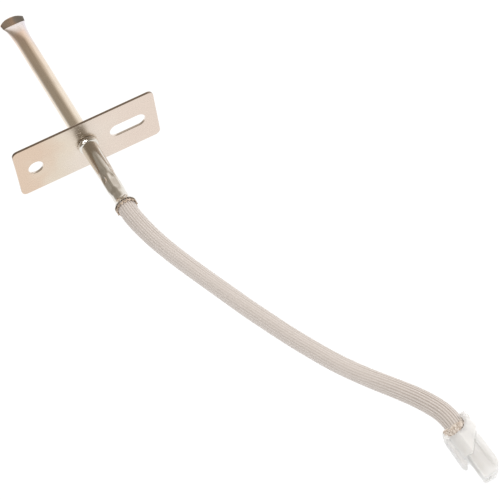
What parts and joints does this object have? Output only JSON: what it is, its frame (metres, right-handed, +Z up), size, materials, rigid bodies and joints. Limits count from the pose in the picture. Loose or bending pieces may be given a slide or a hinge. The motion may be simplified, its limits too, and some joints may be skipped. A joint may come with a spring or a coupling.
{
  "type": "flanged temperature probe",
  "caption": "Closed steel probe tube with a pinched flat tip, staked through a flat mounting plate, with a knitted glass-fibre lead sleeve ending in a latched connector.",
  "frame": {"origin": "on the tube's axis, in the plane of the plate's front face, which seats on the wall of the heated space", "axes": "+Y along the tube towards its tip, +X along the plate towards its slot, +Z up across the plate"},
  "size_m": [0.0921, 0.2643, 0.0244],
  "materials": {
    "tube_steel": "bright drawn stainless, warm tint in front of the plate",
    "plate_steel": "bright rolled stainless sheet, faint straw and pink heat tint",
    "ceramic": "fired alumina, matt",
    "powder": "packed magnesia powder",
    "lead_metal": "thin nickel-alloy wire",
    "ferrule_metal": "tinned brass barrel",
    "glass_tube": "coated glass-fibre tube",
    "glass_knit": "knitted glass-fibre sleeve, long ribs with fine cross stitches",
    "glass_hem": "tan, scalloped sleeve end with brown specks",
    "glass_fray": "tan frayed sleeve end",
    "wire_cover": "white braided glass-fibre insulation",
    "core_metal": "nickel-plated stranded copper",
    "nylon": "natural translucent nylon moulding",
    "latch_nylon": "natural translucent nylon, thin arm",
    "contact_metal": "tinned brass contact"
  },
  "bodies": {
    "probe": {"probe_tube": "tube_steel", "mounting_plate": "plate_steel", "rtd_element": "ceramic", "magnesia_fill": "powder", "front_insulator": "ceramic", "rear_insulator": "ceramic", "element_lead_a": "lead_metal", "element_lead_b": "lead_metal", "splice_ferrule_a": "ferrule_metal", "splice_ferrule_b": "ferrule_metal", "splice_sleeve_a": "glass_tube", "splice_sleeve_b": "glass_tube", "sleeve_grip": "glass_knit", "sleeve_hem": "glass_hem", "lead_sleeve": "glass_knit", "sleeve_tail": "glass_fray", "wire_insulation_a": "wire_cover", "wire_insulation_b": "wire_cover", "wire_core_a": "core_metal", "wire_core_b": "core_metal", "connector_housing": "nylon", "terminal_a": "contact_metal", "terminal_b": "contact_metal"},
    "latch": {"latch_arm": "latch_nylon"}
  },
  "joints": [
    {"name": "latch_flex", "type": "hinge", "parent": "probe", "child": "latch", "pos_m": [0.05223, -0.17518, -0.00785], "axis": [0, 0, -1], "range_deg": [0, 6], "stiffness_Nm_per_rad": 0.05}
  ]
}
